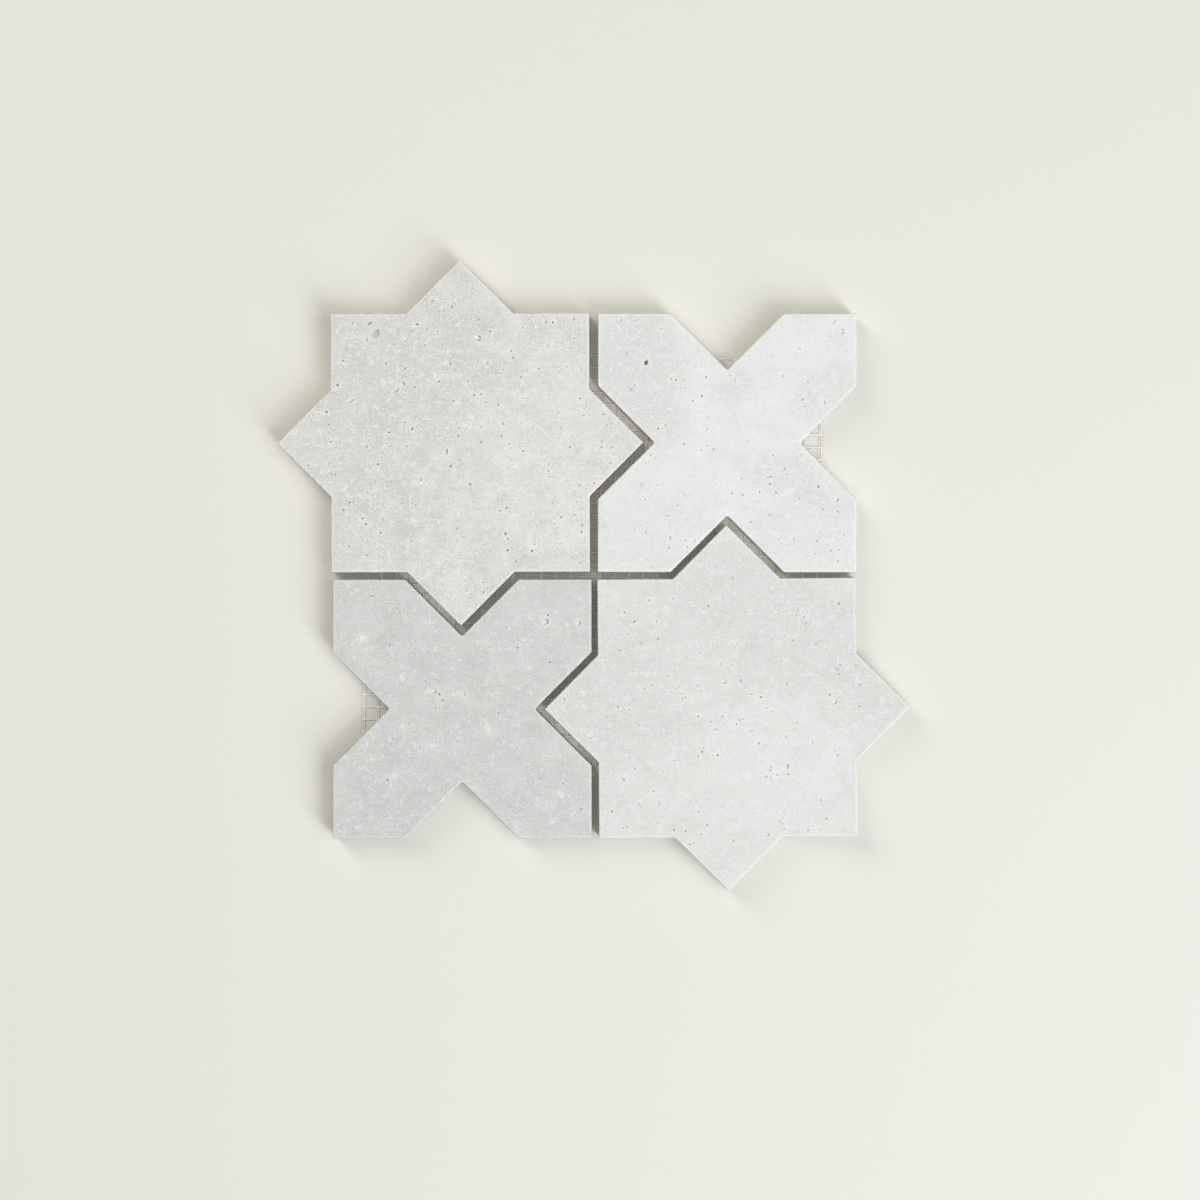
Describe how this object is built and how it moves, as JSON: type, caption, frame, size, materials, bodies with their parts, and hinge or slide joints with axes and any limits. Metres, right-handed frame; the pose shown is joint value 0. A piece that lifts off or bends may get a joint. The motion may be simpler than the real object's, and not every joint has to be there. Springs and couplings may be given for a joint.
{
  "type": "star and cross stone mosaic sheet",
  "caption": "Sheet of stone mosaic for walls or floors: eight-pointed stars interlocked with notched crosses, joints left open for grout, glued face up on a glass-fibre backing mesh.",
  "frame": {"origin": "midway between the two star tiles, on the underside of the backing mesh", "axes": "+Z out of the tiles' face, +X and +Y along the straight joints between the tiles"},
  "size_m": [0.2596, 0.2586, 0.0104],
  "materials": {
    "stone_warm_grey": "honed, pitted",
    "stone_light_grey": "honed, pitted",
    "stone_white": "honed, pitted",
    "stone_cool_grey": "honed, pitted",
    "glass_fibre_mesh": "matt coated yarn"
  },
  "bodies": {
    "root": {"star_tile_upper_left": "stone_warm_grey", "star_tile_lower_right": "stone_light_grey", "cross_tile_upper_right": "stone_white", "cross_tile_lower_left": "stone_cool_grey", "backing_mesh_upper_left": "glass_fibre_mesh", "backing_mesh_upper_right": "glass_fibre_mesh", "backing_mesh_lower_left": "glass_fibre_mesh", "backing_mesh_lower_right": "glass_fibre_mesh"}
  },
  "joints": []
}
